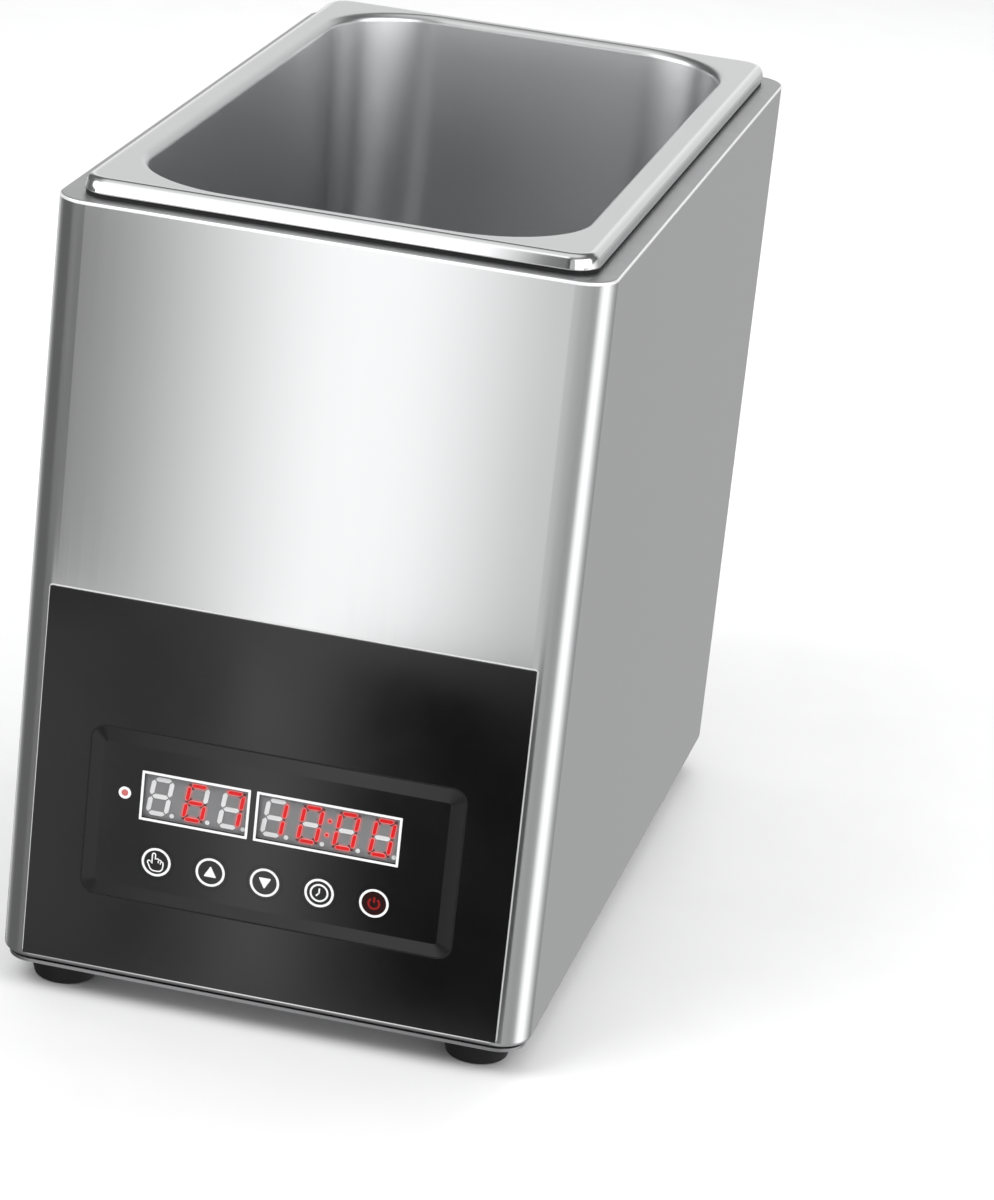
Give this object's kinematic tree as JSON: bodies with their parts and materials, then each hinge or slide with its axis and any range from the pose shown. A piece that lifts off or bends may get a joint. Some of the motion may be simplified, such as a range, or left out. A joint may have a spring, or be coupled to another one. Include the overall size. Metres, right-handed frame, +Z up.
{
  "type": "commercial egg boiler",
  "caption": "Counter-top electric egg boiler: a tall stainless steel box, a lift-out rectangular pan in a heated well, and a black film panel with displays and keys.",
  "frame": {"origin": "middle of the bounding box at the underside of the feet", "axes": "+X to the right as seen from the front, +Y to the rear, +Z up"},
  "size_m": [0.19, 0.3522, 0.2918],
  "materials": {
    "stainless_brushed": "brushed",
    "pan_steel": "satin",
    "sheet_steel": "plain",
    "fastener_zinc": "zinc plated",
    "plate_aluminium": "cast",
    "element_sheath": "dull",
    "terminal_brass": "plain",
    "mineral_wool": "fibrous",
    "black_rubber": "matt",
    "panel_film": "satin",
    "window_film": "clear",
    "display_grey": "matt",
    "segment_red": "lit",
    "segment_clear": "frosted",
    "lamp_red": "lit",
    "board_green": "solder resist",
    "black_plastic": "moulded",
    "stem_white": "moulded",
    "ribbon_grey": "flat cable",
    "transformer_tape": "tape wound",
    "relay_blue": "moulded",
    "block_green": "moulded",
    "lead_red": "silicone sleeve",
    "lead_white": "silicone sleeve"
  },
  "bodies": {
    "body": {"body_shell": "stainless_brushed", "top_deck": "stainless_brushed", "rim_seal": "black_rubber", "well_liner": "sheet_steel", "heater_plate": "plate_aluminium", "heating_element": "element_sheath", "element_terminals": "terminal_brass", "clamp_bars": "sheet_steel", "clamp_screws": "fastener_zinc", "plate_nuts": "fastener_zinc", "insulation_wrap": "mineral_wool", "insulation_pad": "mineral_wool", "heat_shield": "sheet_steel", "shield_rivets": "fastener_zinc", "thermal_cutout": "black_plastic", "temperature_probe": "sheet_steel", "probe_clip": "sheet_steel", "front_overlay": "panel_film", "temp_window": "window_film", "timer_window": "window_film", "temp_display": "display_grey", "timer_display": "display_grey", "lit_segments": "segment_red", "unlit_segments": "segment_clear", "heating_lamp": "lamp_red", "control_board": "board_green", "board_posts": "fastener_zinc", "post_screws": "fastener_zinc", "tact_switches": "black_plastic", "ribbon_cable": "ribbon_grey", "power_board": "board_green", "board_spacers": "fastener_zinc", "spacer_screws": "fastener_zinc", "transformer": "transformer_tape", "relay": "relay_blue", "terminal_blocks": "block_green", "heater_leads": "lead_red", "probe_lead": "lead_white", "base_plate": "sheet_steel", "base_screws": "fastener_zinc", "foot_front_left": "black_rubber", "foot_front_right": "black_rubber", "foot_rear_left": "black_rubber", "foot_rear_right": "black_rubber", "foot_screws": "fastener_zinc", "foot_nuts": "fastener_zinc", "cable_gland": "black_plastic", "gland_nut": "black_plastic"},
    "pan": {"pan": "pan_steel"},
    "set_key": {"key_set": "panel_film", "stem_set": "stem_white"},
    "up_key": {"key_up": "panel_film", "stem_up": "stem_white"},
    "down_key": {"key_down": "panel_film", "stem_down": "stem_white"},
    "timer_key": {"key_timer": "panel_film", "stem_timer": "stem_white"},
    "power_key": {"key_power": "panel_film", "stem_power": "stem_white"}
  },
  "joints": [
    {"name": "pan_lift", "type": "slide", "parent": "body", "child": "pan", "axis": [0, 0, 1], "range_m": [0, 0.17]},
    {"name": "set_key_press", "type": "slide", "parent": "body", "child": "set_key", "axis": [0, 1, 0], "range_m": [0, 0.0004], "stiffness_N_per_m": 1500, "springref_m": -0.0003},
    {"name": "up_key_press", "type": "slide", "parent": "body", "child": "up_key", "axis": [0, 1, 0], "range_m": [0, 0.0004], "stiffness_N_per_m": 1500, "springref_m": -0.0003},
    {"name": "down_key_press", "type": "slide", "parent": "body", "child": "down_key", "axis": [0, 1, 0], "range_m": [0, 0.0004], "stiffness_N_per_m": 1500, "springref_m": -0.0003},
    {"name": "timer_key_press", "type": "slide", "parent": "body", "child": "timer_key", "axis": [0, 1, 0], "range_m": [0, 0.0004], "stiffness_N_per_m": 1500, "springref_m": -0.0003},
    {"name": "power_key_press", "type": "slide", "parent": "body", "child": "power_key", "axis": [0, 1, 0], "range_m": [0, 0.0004], "stiffness_N_per_m": 1500, "springref_m": -0.0003}
  ]
}
